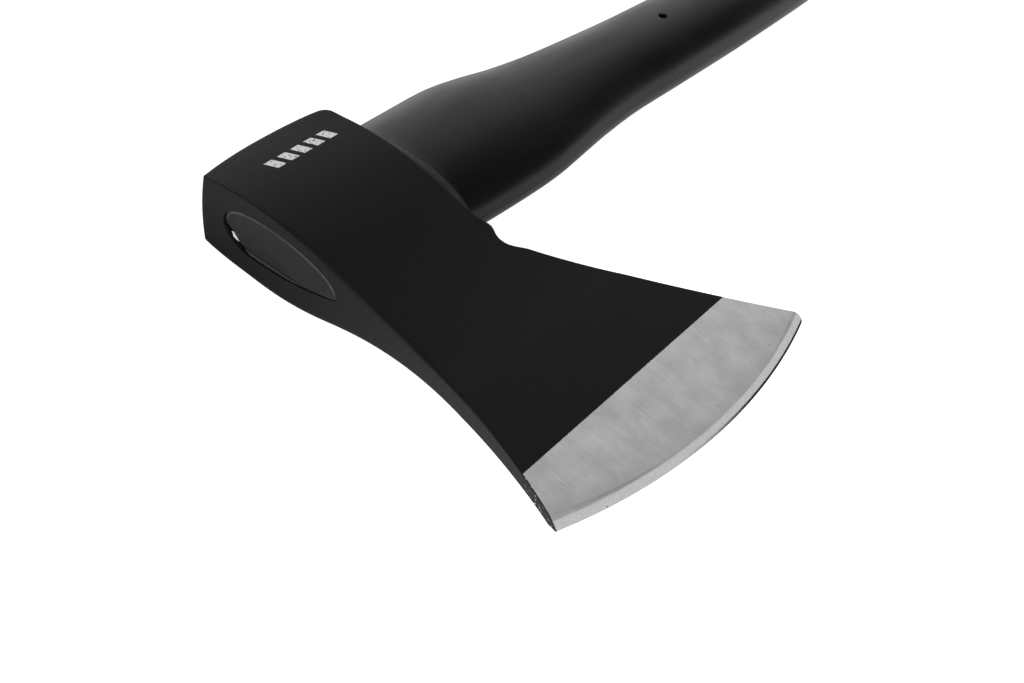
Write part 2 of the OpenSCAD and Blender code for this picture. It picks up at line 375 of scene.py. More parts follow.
def bottom_level(x):
    """Level of the head's lower outline: lug, notch and slightly hollow beard."""
    run = (x - BEARD_START) / (HEEL_X - BEARD_START)
    rise = HEEL_LEVEL - LUG_HEIGHT - BEARD_DROP
    beard = LUG_HEIGHT + BEARD_DROP + rise * run - 4 * BEARD_SAG * run * (1 - run)
    inside = np.clip(NOTCH_RADIUS ** 2 - (x - NOTCH_X) ** 2, 0, None)
    notch = LUG_HEIGHT - NOTCH_DEPTH + NOTCH_RADIUS - np.sqrt(inside)
    lug = LUG_HEIGHT + LUG_LIP * smoothstep(33, 39.5, x)
    level = np.where(x < BEARD_START, lug, beard)
    return np.where(np.abs(x - NOTCH_X) < BEARD_START - NOTCH_X, np.minimum(level, notch), level)


def softened(level, x, reach):
    """level(x) averaged over reach either side, which rounds its corners."""
    samples = np.linspace(-reach, reach, 9)
    return np.mean([level(x + s) for s in samples], axis=0)


def corner_arc(center, radius, start_degrees, end_degrees, count):
    """Points on an arc."""
    angles = np.radians(np.linspace(start_degrees, end_degrees, count))
    return np.stack([center[0] + radius * np.cos(angles), center[1] + radius * np.sin(angles)], 1)


def spread(parts):
    """Joins (end, steps) runs into one rising list from 0 to the last end."""
    values, at = [0.0], 0.0
    for end, steps in parts:
        values += list(np.linspace(at, end, steps + 1)[1:])
        at = end
    return np.array(values)


def distance_to_line(points, line):
    """Shortest distance from each point to a polyline."""
    best = np.full(len(points), 1e9)
    for a, b in zip(line[:-1], line[1:]):
        along = b - a
        share = np.clip(((points - a) @ along) / max(along @ along, 1e-12), 0, 1)
        gap = points - (a + share[:, None] * along)
        best = np.minimum(best, np.hypot(gap[:, 0], gap[:, 1]))
    return best


def head_outline():
    """The four sides of the head seen from the side: top, bottom, poll and cutting edge."""
    run = spread([(0.02, 8), (0.93, 118), (0.97, 12), (1.0, 18)])[1:]
    top_start = UPPER_CORNER + POLL_COLUMN
    bottom_start = LOWER_CORNER + POLL_COLUMN
    top_x = top_start + (TOE_X - top_start) * run
    bottom_x = bottom_start + (HEEL_X - bottom_start) * run
    top = np.concatenate([
        corner_arc((top_start, UPPER_CORNER), UPPER_CORNER, 180, 270, 9),
        np.stack([top_x, top_level(top_x)], 1),
    ])
    bottom = np.concatenate([
        corner_arc((bottom_start, LUG_HEIGHT - LOWER_CORNER), LOWER_CORNER, 180, 90, 9),
        np.stack([bottom_x, softened(bottom_level, bottom_x, LINE_SOFTENING)], 1),
    ])
    bottom[-1] = (HEEL_X, HEEL_LEVEL)
    rows = spread([(0.03, 14), (0.06, 6), (0.94, 62), (0.97, 6), (1.0, 14)])
    poll = np.stack([
        np.full(len(rows), POLL_COLUMN),
        UPPER_CORNER + (LUG_HEIGHT - LOWER_CORNER - UPPER_CORNER) * rows,
    ], 1)
    toe_angle = math.asin((TOE_LEVEL - EDGE_LEVEL) / EDGE_RADIUS)
    heel_angle = math.asin((HEEL_LEVEL - EDGE_LEVEL) / EDGE_RADIUS)
    angles = toe_angle + (heel_angle - toe_angle) * rows
    edge = EDGE_CENTER + EDGE_RADIUS * np.stack([np.cos(angles), np.sin(angles)], 1)
    return top, bottom, poll, edge, rows


def round_heel(points):
    """Pulls the points at the sharp heel in to a small arc; also gives their distance from its rim."""
    width = HEEL_X - BEARD_START
    slope = (HEEL_LEVEL - LUG_HEIGHT - BEARD_DROP + 4 * BEARD_SAG) / width
    along = np.array([1, slope]) / math.hypot(1, slope)
    inward = np.array([along[1], -along[0]])
    start = np.array([HEEL_X, HEEL_LEVEL]) + HEEL_RADIUS * inward - EDGE_CENTER
    reach = start @ along
    slide = math.sqrt(reach ** 2 - start @ start + (EDGE_RADIUS - HEEL_RADIUS) ** 2) - reach
    center = EDGE_CENTER + start + slide * along
    gap = points - center
    size = np.hypot(gap[:, 0], gap[:, 1])
    angle = np.degrees(np.arctan2(gap[:, 1], gap[:, 0]))
    outward = center - EDGE_CENTER
    low = math.degrees(math.atan2(outward[1], outward[0]))
    high = math.degrees(math.atan2(-inward[1], -inward[0]))
    pull = (angle > low) & (angle < high) & (size > HEEL_RADIUS)
    result = points.copy()
    result[pull] = center + gap[pull] / size[pull][:, None] * HEEL_RADIUS
    turn = np.clip((angle - low) / (high - low), 0, 1)
    from_rim = np.maximum(HEEL_RADIUS - size, 0) + 3.2 * turn ** 1.5
    return result, np.where((angle > low) & (angle < high), from_rim, 1e9)


def edge_loss(gap, radius):
    """How far a border of the given radius has dropped at a distance from its rim."""
    inside = np.clip(radius - gap, 0, None)
    return radius - np.sqrt(np.clip(radius ** 2 - inside ** 2, 0, None))


def head_sheet():
    """The head seen from the side: its points, their distance from the heel's rim, and its borders."""
    top, bottom, poll, edge, rows = head_outline()
    s = ((top[:, 0] - POLL_COLUMN) / (TOE_X - POLL_COLUMN))[None, :, None]
    v = rows[:, None, None]
    corners = (
        (1 - s) * (1 - v) * top[0] + s * (1 - v) * top[-1]
        + (1 - s) * v * bottom[0] + s * v * bottom[-1]
    )
    side = (1 - v) * top[None] + v * bottom[None] + (1 - s) * poll[:, None] + s * edge[:, None] - corners
    flat, heel_rim = round_heel(side.reshape(-1, 2))
    border, _ = round_heel(np.concatenate([top[::-1], poll, bottom]))
    return flat, heel_rim, border, poll, rows


def head_halves(flat, heel_rim, border, poll, share):
    """Half thickness above and below the mid-plane, with rounded borders and the bevel along the edge."""
    x, y = flat.T
    half = cheek(x) - SKIN_CLEARANCE
    gap = distance_to_line(flat, border)
    low_down = smoothstep(0.35, 0.65, share)
    lug_round = LUG_ROUND - 0.8 * smoothstep(20, 70, x)

    def border_loss(top_round):
        thinned = top_round - 0.15 * smoothstep(20, 80, x)
        return edge_loss(gap, np.minimum(thinned + (lug_round - thinned) * low_down, 0.45 * half))

    # The upper side, whose ridge is softest in the middle of the head and of the poll.
    ridge = smoothstep(-12, 12, x) * smoothstep(95, 55, x)
    poll_round = POLL_ROUND + (POLL_ROUND_MIDDLE - POLL_ROUND) * np.sin(math.pi * share)
    poll_loss = edge_loss(distance_to_line(flat, poll), poll_round)
    above = half + FAR_RISE * smoothstep(25, LUG_HEIGHT, y) * smoothstep(-24, POLL_COLUMN, x)
    above -= np.maximum(border_loss(RIDGE_ROUND + RIDGE_ROUND_MIDDLE * ridge), poll_loss)

    below = half + LOWER_FILL * smoothstep(-12, POLL_COLUMN, x) - border_loss(UNDER_ROUND)
    from_edge = EDGE_RADIUS - np.hypot(x - EDGE_CENTER[0], y - EDGE_CENTER[1])
    bevel = EDGE_HALF + np.clip(np.minimum(from_edge, heel_rim), 0, None) * BEVEL_SLOPE
    return np.minimum(above, bevel), np.minimum(below, bevel)


def head_walls(upper, lower):
    """Rings between the upper and the lower rim, round poll, top face and underside, slightly bulging."""
    direction = np.gradient(upper[:, :2], axis=0)
    outward = np.stack([direction[:, 1], -direction[:, 0]], 1)
    outward /= np.maximum(np.hypot(outward[:, 0], outward[:, 1]), 1e-9)[:, None]
    outward *= -1 if outward[len(upper) // 2][0] > 0 else 1
    off_poll = smoothstep(POLL_COLUMN, POLL_COLUMN + 3, upper[:, 0])
    bulge = WALL_BULGE * smoothstep(1, 12, upper[:, 2]) * off_poll
    walls = []
    for share in np.linspace(1, -1, WALL_STEPS + 1)[1:-1]:
        wall = upper.copy()
        wall[:, :2] += outward * (bulge * (1 - share ** 2))[:, None]
        wall[:, 2] = (1 + share) / 2 * upper[:, 2] + (1 - share) / 2 * lower[:, 2]
        walls.append(wall)
    return walls


def head_mesh():
    """Points and faces of the head: two cheeks, the walls between them, and the edge."""
    flat, heel_rim, border, poll, rows = head_sheet()
    count, size = len(rows), len(flat)
    columns = size // count
    above, below = head_halves(flat, heel_rim, border, poll, np.repeat(rows, columns))
    upper = np.column_stack([flat, above])
    lower = np.column_stack([flat, -below])
    faces = grid_faces(count, columns) + grid_faces(count, columns, size, flip=True)

    number = np.arange(size).reshape(count, columns)
    rim = np.concatenate([number[0, ::-1], number[1:, 0], number[-1, 1:]])
    walls = head_walls(upper[rim], lower[rim])
    loops = [rim]
    loops += [2 * size + k * len(rim) + np.arange(len(rim)) for k in range(len(walls))]
    loops.append(rim + size)
    for a, b in zip(loops[:-1], loops[1:]):
        faces += [(a[i], a[i + 1], b[i + 1], b[i]) for i in range(len(rim) - 1)]
    edge = number[:, -1]
    faces += [(a, b, b + size, a + size) for a, b in zip(edge[:-1], edge[1:])]
    faces = [tuple(int(n) for n in face) for face in faces]
    return dome_poll(np.concatenate([upper, lower] + walls)), faces


def dome_poll(points):
    """Moves the straight end of the head out on to the poll's dome, and the cheeks behind it along."""
    y, z = points[:, 1] - LUG_HEIGHT / 2, points[:, 2] - POLL_DOME_Z
    face = POLL_RADIUS - POLL_BACK - np.sqrt(POLL_RADIUS ** 2 - y ** 2 - z ** 2)
    follow = smoothstep(POLL_REACH, POLL_COLUMN, points[:, 0])
    result = points.copy()
    result[:, 0] += (face - POLL_COLUMN) * follow
    result[:, 2] *= cheek(result[:, 0]) / cheek(points[:, 0])
    return result


def bow(x, reach, peak, blunt, taper):
    """One side of the eye: 1 at its widest, falling to 0 at both ends."""
    front = np.clip(1 - ((x - peak) / (reach - peak)) ** 2, 0, None) ** taper
    back = np.clip(1 - ((x - peak) / (reach + peak)) ** 2, 0, None) ** blunt
    return np.where(x > peak, front, back)


def eye_outline(inset, lower_gap=0.0):
    """The eye's outline in X and Z, shrunk all round by inset, and below by lower_gap as well."""
    reach = EYE_LENGTH / 2 - 1.2 * inset
    above = EYE_WIDTH / 2 + EYE_OFFSET - inset
    below = EYE_WIDTH / 2 - EYE_OFFSET - inset
    angles = np.linspace(math.pi, -math.pi, EYE_POINTS + 1)[:-1]
    x = reach * np.cos(angles)
    upper = above * bow(x, reach, *UPPER_BOW)
    lower = -(below - lower_gap * smoothstep(22, -4, x)) * bow(x, reach, *LOWER_BOW)
    return np.stack([x, np.where(np.sin(angles) >= 0, upper, lower)], 1)


def prism(name, rings):
    """A closed solid through rings of points in the axe's frame, capped at both ends."""
    size = len(rings[0])
    points = np.concatenate(rings)
    faces = grid_faces(len(rings), size, closed_columns=True)
    faces.append(tuple(range(size)))
    faces.append(tuple(range(len(points) - 1, len(points) - size - 1, -1)))
    return make_object(name, points, faces)


def eye_ring(level, inset, lower_gap=0.0):
    """The eye's outline as a ring of points at a level."""
    outline = eye_outline(inset, lower_gap)
    return np.stack([outline[:, 0], np.full(len(outline), level), outline[:, 1]], 1)


def void_cutter(bottom):
    """The ragged corner at the poll end of the eye that the resin failed to fill."""
    outline = np.array(VOID_OUTLINE)
    rings = []
    for level in (VOID_TOP, 0.6, 2.0, bottom):
        ragged = outline + 0.22 * np.stack([
            wobble([(x, level, z) for x, z in outline], 1.4, 5),
            wobble([(x, level, z) for x, z in outline], 1.4, 6),
        ], 1)
        rings.append(np.stack([ragged[:, 0], np.full(len(ragged), float(level)), ragged[:, 1]], 1))
    return prism("void_cutter", rings)


# ---------- The handle ----------

def signed_power(value, power):
    """value to a power, keeping its sign."""
    return np.sign(value) * np.abs(value) ** power


def handle_ring(level, grow, sides=120):
    """The handle's section at a level, a rounded oval, grown all round."""
    offset, half_width, half_thickness = smooth_section([level])[0]
    angles = np.linspace(0, 2 * math.pi, sides, endpoint=False)
    return np.stack([
        offset + (half_width + grow) * signed_power(np.cos(angles), 2 / SECTION_POWER),
        np.full(sides, float(level)),
        (half_thickness + grow) * signed_power(np.sin(angles), 2 / SECTION_POWER),
    ], 1)


def handle_rings():
    """Levels and growth of the jacket's rings, from the shoulder to the butt."""
    start = LUG_HEIGHT + RESIN_BEAD
    recess = GRIP_THICKNESS - GRIP_PROUD
    profile = [(start + a, g) for a, g in (
        (0, 0.1), (0.5, 0.09), (1.0, 0.06), (1.5, 0.03), (2.2, 0.01), (3, 0),
    )]
    profile += [(y, 0) for y in np.arange(61, 120, 1.5)]
    profile += [(y, 0) for y in np.arange(120, 232, 2)]
    profile += [(y, 0) for y in np.linspace(232, GRIP_START, 60)]
    profile += [(y, -recess) for y in np.linspace(GRIP_START, GRIP_END, 30)]
    profile += [(y, 0) for y in np.linspace(GRIP_END, 684, 30)]
    profile += [(y, 0) for y in np.linspace(685.5, AXE_LENGTH, 18)]
    return [handle_ring(y, g) for y, g in profile]


def cylinder(name, x, y, radius, half_height, flare, flare_depth, sides=48):
    """A cutter through the handle along Z, flared at both mouths."""
    angles = np.linspace(0, 2 * math.pi, sides, endpoint=False)
    far_radius = radius + flare * (CUTTER_REACH - half_height) / flare_depth + flare
    profile = (
        (-CUTTER_REACH, far_radius), (-half_height + flare_depth, radius),
        (half_height - flare_depth, radius), (CUTTER_REACH, far_radius),
    )
    rings = [
        np.stack([x + r * np.cos(angles), y + r * np.sin(angles), np.full(sides, z)], 1)
        for z, r in profile
    ]
    return prism(name, rings)


# ---------- Materials ----------

RANGE_SOCKETS = ("From Min", "From Max", "To Min", "To Max")


class Nodes:
    """Builds one node material whose coordinates are the axe's own, in mm."""

    def __init__(self, name):
        self.material = bpy.data.materials.new(name)
        self.material.use_nodes = True
        self.tree = self.material.node_tree
        self.tree.nodes.clear()
        self.output = self.tree.nodes.new("ShaderNodeOutputMaterial")
        self.shader = self.tree.nodes.new("ShaderNodeBsdfPrincipled")
        self.link(self.shader.outputs[0], self.output.inputs[0])
        coordinate = self.tree.nodes.new("ShaderNodeTexCoord")
        mapping = self.tree.nodes.new("ShaderNodeMapping")
        mapping.inputs["Scale"].default_value = (1000, 1000, 1000)
        mapping.inputs["Rotation"].default_value = (0, -LEAN, 0)
        mapping.inputs["Location"].default_value = tuple(-(ROTATION.T @ SHIFT))
        self.link(coordinate.outputs["Object"], mapping.inputs["Vector"])
        self.place = mapping.outputs["Vector"]
        split = self.tree.nodes.new("ShaderNodeSeparateXYZ")
        self.link(self.place, split.inputs[0])
        self.x, self.y, self.z = split.outputs

    def link(self, a, b):
        self.tree.links.new(a, b)

    def put(self, socket, value):
        """Links a socket, or sets a number or colour on it."""
        if isinstance(value, bpy.types.NodeSocket):
            self.link(value, socket)
        else:
            socket.default_value = value

    def math(self, operation, a, b=0.0):
        node = self.tree.nodes.new("ShaderNodeMath")
        node.operation = operation
        self.put(node.inputs[0], a)
        self.put(node.inputs[1], b)
        return node.outputs[0]

    def plus(self, *values):
        total = values[0]
        for value in values[1:]:
            total = self.math("ADD", total, value)
        return total

    def times(self, *values):
        product = values[0]
        for value in values[1:]:
            product = self.math("MULTIPLY", product, value)
        return product

    def minus(self, a, b):
        return self.math("SUBTRACT", a, b)

    def ramp(self, value, low, high, start=0.0, end=1.0):
        """Smooth step of value from low to high, as start to end."""
        node = self.tree.nodes.new("ShaderNodeMapRange")
        node.interpolation_type = "SMOOTHSTEP"
        self.put(node.inputs["Value"], value)
        for name, given in zip(RANGE_SOCKETS, (low, high, start, end)):
            self.put(node.inputs[name], given)
        return node.outputs[0]

    def stretched(self, scale):
        node = self.tree.nodes.new("ShaderNodeMapping")
        node.inputs["Scale"].default_value = scale
        self.link(self.place, node.inputs["Vector"])
        return node.outputs[0]

    def noise(self, scale, detail=3.0, rough=0.5, vector=None):
        """Noise from 0 to 1; scale is lumps per mm unless the vector is stretched."""
        node = self.tree.nodes.new("ShaderNodeTexNoise")
        node.inputs["Scale"].default_value = scale
        node.inputs["Detail"].default_value = detail
        node.inputs["Roughness"].default_value = rough
        self.link(vector or self.place, node.inputs["Vector"])
        return node.outputs["Fac"]

    def cells(self, scale):
        node = self.tree.nodes.new("ShaderNodeTexVoronoi")
        node.inputs["Scale"].default_value = scale
        self.link(self.place, node.inputs["Vector"])
        return node.outputs["Distance"]

    def mix(self, factor, a, b):
        node = self.tree.nodes.new("ShaderNodeMix")
        node.data_type = "RGBA"
        self.put(node.inputs[0], factor)
        self.put(node.inputs[6], a)
        self.put(node.inputs[7], b)
        return node.outputs[2]

    def bump(self, height, distance_mm):
        node = self.tree.nodes.new("ShaderNodeBump")
        node.inputs["Distance"].default_value = distance_mm / 1000
        node.inputs["Strength"].default_value = 1.0
        self.link(height, node.inputs["Height"])
        return node.outputs[0]

    def set(self, **values):
        for name, value in values.items():
            self.put(self.shader.inputs[name.replace("_", " ")], value)


def grey(level):
    return (level, level, level, 1)


def plain_mark(n):
    """Mask of a row of plain slanted bars printed on the upper cheek, a little worn."""
    along = n.minus(n.y, n.times(n.minus(n.x, MARK_X), MARK_SLANT))
    phase = n.math("FRACT", n.math("DIVIDE", n.minus(along, MARK_Y), MARK_PITCH))
    bar = n.times(n.ramp(phase, 0.0, 0.05), n.ramp(phase, MARK_FILL + 0.05, MARK_FILL))
    row_end = MARK_Y + MARK_BARS * MARK_PITCH
    in_row = n.times(n.ramp(along, MARK_Y - 0.05, MARK_Y + 0.05), n.ramp(along, row_end, row_end - 0.1))
    top = MARK_X + MARK_HEIGHT
    in_height = n.times(n.ramp(n.x, MARK_X - 0.1, MARK_X + 0.1), n.ramp(n.x, top + 0.1, top - 0.1))
    worn = n.ramp(n.noise(1.3, 4), 0.34, 0.44)
    upper_cheek = n.ramp(n.z, 5.0, 6.0)
    return n.times(bar, in_row, n.times(in_height, worn), upper_cheek)


def bit_bevel(n, from_edge):
    """Mask of the small bevel ground along the cutting edge."""
    return n.ramp(from_edge, 2.9, 2.3)


def bit_steel(n, from_edge, tone, grain):
    """Colour of the ground steel, by distance in from the cutting edge."""
    steel = n.mix(n.ramp(tone, 0.36, 0.64), grey(0.66), grey(0.86))
    steel = n.mix(n.ramp(n.x, 114.0, 136.0, 0.0, 0.2), steel, grey(0.6))
    # A slightly darker band just before the bevel.
    jitter = n.times(n.minus(n.noise(0.5, 4), 0.5), 3.0)
    inward = n.plus(from_edge, jitter)
    band = n.times(n.ramp(inward, 2.2, 3.2), n.ramp(inward, 9.0, 3.4))
    steel = n.mix(n.times(band, 0.3), steel, grey(0.55))
    # The paler, grainy bevel, and a painted shade: a dark line along the edge itself towards the heel.
    bevel_grey = n.mix(n.ramp(grain, 0.35, 0.6), grey(0.7), grey(0.92))
    steel = n.mix(bit_bevel(n, from_edge), steel, bevel_grey)
    ragged_edge = n.plus(from_edge, n.times(grain, 0.5))
    painted_edge_shade = n.times(n.ramp(ragged_edge, 1.05, 0.65), n.ramp(n.y, 20.0, 60.0))
    steel = n.mix(painted_edge_shade, steel, grey(0.02))
    # A few dark specks near the edge.
    specks = n.ramp(n.cells(0.35), 0.09, 0.04)
    near = n.ramp(from_edge, 12.0, 3.0)
    rare = n.ramp(n.noise(0.16, 2), 0.56, 0.62)
    return n.mix(n.times(specks, near, rare), steel, grey(0.03))


def top_face_coating(n):
    """Mask of the coating left on the narrow upper face of the bit, apart from bright nicks."""
    hx = n.minus(n.x, HOLLOW_X)
    hy = n.minus(n.y, float(HOLLOW_DEPTH - HOLLOW_RADIUS))
    from_center = n.math("SQRT", n.plus(n.times(hx, hx), n.times(hy, hy)))
    on_face = n.ramp(n.minus(from_center, HOLLOW_RADIUS), 0.4, 0.15)
    nicks = n.ramp(n.noise(0.9, 5, 0.7), 0.6, 0.66)
    return n.times(on_face, n.minus(1.0, nicks))


def head_material():
    """Matt black coating, and the bright bit where it has been ground off."""
    n = Nodes("coated_and_ground_steel")
    # The coating ends at a straight line across the blade, ragged by a quarter of a mm.
    ragged = n.times(n.minus(n.noise(1.6, 4), 0.5), 0.5)
    ground = n.ramp(n.plus(n.x, ragged), PAINT_LINE - 0.12, PAINT_LINE + 0.12)

    dx = n.minus(n.x, float(EDGE_CENTER[0]))
    dy = n.minus(n.y, float(EDGE_CENTER[1]))
    from_edge = n.minus(EDGE_RADIUS, n.math("SQRT", n.plus(n.times(dx, dx), n.times(dy, dy))))

    cloud = n.noise(0.06, 3)
    fine = n.noise(2.2, 4)
    coat = n.mix(cloud, grey(0.003), grey(0.0045))
    coat = n.mix(n.ramp(fine, 0.55, 0.8), coat, grey(0.0065))
    coat = n.mix(plain_mark(n), coat, n.mix(fine, grey(0.88), grey(0.98)))

    # Brush lines from the coating to the edge, over cloudy patches.
    lines = n.noise(1.0, 5, 0.65, n.stretched((0.09, 4.2, 0.3)))
    fine_lines = n.noise(1.0, 3, 0.6, n.stretched((0.16, 9.0, 0.3)))
    patches = n.noise(0.11, 4, 0.6)
    tone = n.plus(n.times(lines, 0.35), n.times(fine_lines, 0.2), n.times(patches, 0.45))
    grain = n.noise(3.5, 3, 0.7)
    steel = bit_steel(n, from_edge, tone, grain)
    bevel = bit_bevel(n, from_edge)

    ground = n.times(ground, n.minus(1.0, top_face_coating(n)))
    coated = n.minus(1.0, ground)
    matt_bevel = n.minus(1.0, n.times(bevel, 0.6))
    n.set(Base_Color=n.mix(ground, coat, steel), Metallic=n.times(ground, matt_bevel))
    rough_coat = n.ramp(fine, 0.3, 0.7, 0.56, 0.66)
    rough_steel = n.plus(n.ramp(tone, 0.3, 0.7, 0.52, 0.60), n.times(bevel, 0.12))
    n.set(Roughness=n.plus(n.times(rough_steel, ground), n.times(rough_coat, coated)))
    n.shader.inputs["Specular IOR Level"].default_value = 0.18

    # Relief: orange peel on the coating, brush scratches on the bit.
    peel = n.plus(n.times(n.noise(1.1, 3), 0.7), n.noise(0.3, 2))
    scratch = n.plus(n.times(fine_lines, 0.35), n.times(lines, 0.35), n.times(grain, bevel, 3.0))
    n.set(Normal=n.bump(n.plus(n.times(peel, coated), n.times(scratch, ground)), 0.035))
    return n.material


def jacket_material():
    """Satin black moulded plastic with a fine spark texture and a faint parting line."""
    n = Nodes("moulded_black_plastic")
    fine = n.noise(3.0, 3)
    cloud = n.noise(0.045, 3)
    colour = n.mix(cloud, grey(0.0035), grey(0.005))
    dust = n.ramp(n.noise(1.7, 2), 0.74, 0.8)
    colour = n.mix(n.times(dust, 0.5), colour, grey(0.06))
    # Painted highlight: the rim of the tenon's end is coloured a little paler, in patches, along its upper
    # side, where it would catch the light.
    rim = n.times(n.ramp(n.y, 0.2, 0.32), n.ramp(n.y, 0.72, 0.5))
    worn = n.ramp(n.noise(0.3, 2), 0.3, 0.6, 0.5, 1.0)
    rim = n.times(rim, n.ramp(n.z, 0.0, 3.0), worn)
    n.set(Base_Color=n.mix(rim, colour, grey(0.09)))
    smear = n.noise(1.0, 3, 0.5, n.stretched((0.09, 0.02, 0.09)))
    end_face = n.ramp(n.y, 8.0, 5.0)
    n.set(Roughness=n.plus(n.ramp(smear, 0.35, 0.7, 0.30, 0.40), n.times(end_face, 0.1)))
    n.shader.inputs["Specular IOR Level"].default_value = 0.21
    seam = n.times(n.ramp(n.math("ABSOLUTE", n.z), 0.35, 0.15), n.ramp(n.y, 58.0, 62.0))
    relief = n.plus(n.times(fine, 0.25), n.times(n.noise(0.25, 2), 0.6), n.times(seam, 5.0))
    n.set(Normal=n.bump(relief, 0.03))
    return n.material


def resin_material():
    """Glossy black resin in the eye."""
    n = Nodes("cured_black_resin")
    n.set(Base_Color=n.mix(n.noise(0.9, 4), grey(0.004), grey(0.012)))
    n.set(Roughness=n.ramp(n.noise(0.7, 3), 0.3, 0.7, 0.28, 0.5))
    n.set(Normal=n.bump(n.noise(0.8, 4), 0.15))
    return n.material


def bead_material():
    """The bead at the shoulder: a little greyer, as squeezed-out resin dulls."""
    n = Nodes("dulled_resin")
    speck = n.ramp(n.noise(1.3, 2), 0.70, 0.78)
    colour = n.mix(n.noise(0.4, 3), grey(0.005), grey(0.009))
    n.set(Base_Color=n.mix(n.times(speck, 0.8), colour, grey(0.2)))
    n.set(Roughness=n.ramp(n.noise(0.9, 3), 0.3, 0.7, 0.48, 0.62))
    n.shader.inputs["Specular IOR Level"].default_value = 0.2
    n.set(Normal=n.bump(n.noise(0.7, 4), 0.12))
    return n.material


def rubber_material():
    """Matt black rubber with a fine grain."""
    n = Nodes("moulded_grip_rubber")
    n.set(Base_Color=n.mix(n.noise(0.3, 4), grey(0.016), grey(0.026)))
    n.set(Roughness=n.ramp(n.noise(0.5, 3), 0.3, 0.7, 0.62, 0.78))
    n.shader.inputs["Specular IOR Level"].default_value = 0.3
    n.set(Normal=n.bump(n.noise(2.5, 3), 0.06))
    return n.material


def core_material():
    """Pultruded glass fibre: straw-coloured, with rovings running along the rod."""
    n = Nodes("pultruded_glass_fibre")
    rovings = n.noise(1.0, 4, 0.6, n.stretched((1.6, 0.02, 1.6)))
    n.set(Base_Color=n.mix(rovings, (0.42, 0.37, 0.17, 1), (0.68, 0.63, 0.40, 1)))
    n.set(Roughness=n.ramp(rovings, 0.3, 0.7, 0.35, 0.55))
    n.set(Normal=n.bump(rovings, 0.05))
    return n.material


def glue_material():
    """Shiny crumb of cured glue, coloured whitish; the pale colour is partly a painted glint."""
    n = Nodes("glue_residue_and_painted_glint")
    # Partly painted highlight: the glue's whitish colour also stands in for a glint.
    n.set(Base_Color=n.mix(n.noise(1.5, 3), grey(0.55), grey(0.9)))
    n.set(Roughness=n.ramp(n.noise(1.1, 3), 0.3, 0.7, 0.12, 0.3))
    n.set(Normal=n.bump(n.noise(1.8, 3), 0.2))
    return n.material


def floor_material():
    """White table. What the axe mirrors carries a painted shadow beside it, on the side away from the main
    light.
    """
    n = Nodes("white_table")
    n.set(Base_Color=n.mix(n.noise(0.01, 3), grey(0.5), grey(0.52)))
    n.set(Roughness=n.ramp(n.noise(0.02, 2), 0.3, 0.7, 0.55, 0.65))
    n.shader.inputs["Specular IOR Level"].default_value = 0.2
    n.shader.inputs["Emission Color"].default_value = (1, 1, 1, 1)
    # Painted shadow: the glow that the axe mirrors is darkened by position in front of the head and along the
    # handle's side.
    painted_shadow_by_head = n.times(n.ramp(n.y, -60.0, 0.0), n.ramp(n.x, 80.0, -40.0, 0.12, 1.0), n.ramp(n.y, 54.0, 52.0))
    painted_shadow_by_handle = n.times(n.ramp(n.x, 85.0, 25.0), n.ramp(n.y, 50.0, 60.0), n.ramp(n.y, 420.0, 80.0, 0.3, 0.75))
    painted_shadow = n.math("MAXIMUM", painted_shadow_by_head, painted_shadow_by_handle)
    mirrored = n.minus(FLOOR_BOUNCE, n.times(painted_shadow, FLOOR_PAINTED_SHADOW))
    seen = n.tree.nodes.new("ShaderNodeLightPath").outputs["Is Camera Ray"]
    n.set(Emission_Strength=n.math("MAXIMUM", mirrored, n.times(seen, FLOOR_GLOW)))
    return n.material


# ---------- Build: head ----------

head_points, head_faces = head_mesh()
head = make_object("forged_head", head_points, head_faces)
# The eye's mouth is slightly opened at the top face: level and growth.
mouth = [(-8, 0.12), (-0.6, 0.12), (-0.05, 0.1), (0.15, 0.04), (0.3, 0), (66, 0)]
combine(head, prism("eye_cutter", [eye_ring(level, -grow) for level, grow in mouth]), "DIFFERENCE")
finish_piece(head, head_material(), "axe_head", 32)

# ---------- Build: handle ----------

jacket = prism("moulded_handle", handle_rings())
# The tenon's end is slightly crowned: level and inset.
plug_profile = [
    (0.1, 4.0), (0.12, 3.0), (0.15, 2.1), (0.19, 1.4), (0.24, 0.95), (0.3, 0.65), (0.38, 0.46), (0.5, 0.35),
    (0.7, PLUG_GAP), (3.0, PLUG_GAP), (20.0, PLUG_GAP), (62.0, PLUG_GAP),
]
plug = prism("plug", [eye_ring(level, inset, LOWER_GAP) for level, inset in plug_profile])
combine(jacket, plug, "UNION")
combine(jacket, void_cutter(VOID_DEPTH), "DIFFERENCE")
for level in LOCATOR_LEVELS:
    hole_x, _, hole_half = smooth_section([level])[0]
    cutter = cylinder("locator_cutter", hole_x, level, LOCATOR_RADIUS, hole_half, 0.35, 0.4)
    combine(jacket, cutter, "DIFFERENCE")
hole_half = smooth_section([HANG_LEVEL])[0][2]
cutter = cylinder("hang_cutter", hang_x, HANG_LEVEL, HANG_RADIUS, hole_half, 0.7, 0.8, 72)
combine(jacket, cutter, "DIFFERENCE")
finish_piece(jacket, jacket_material(), "handle_jacket", 32)

# ---------- Build: resin ----------

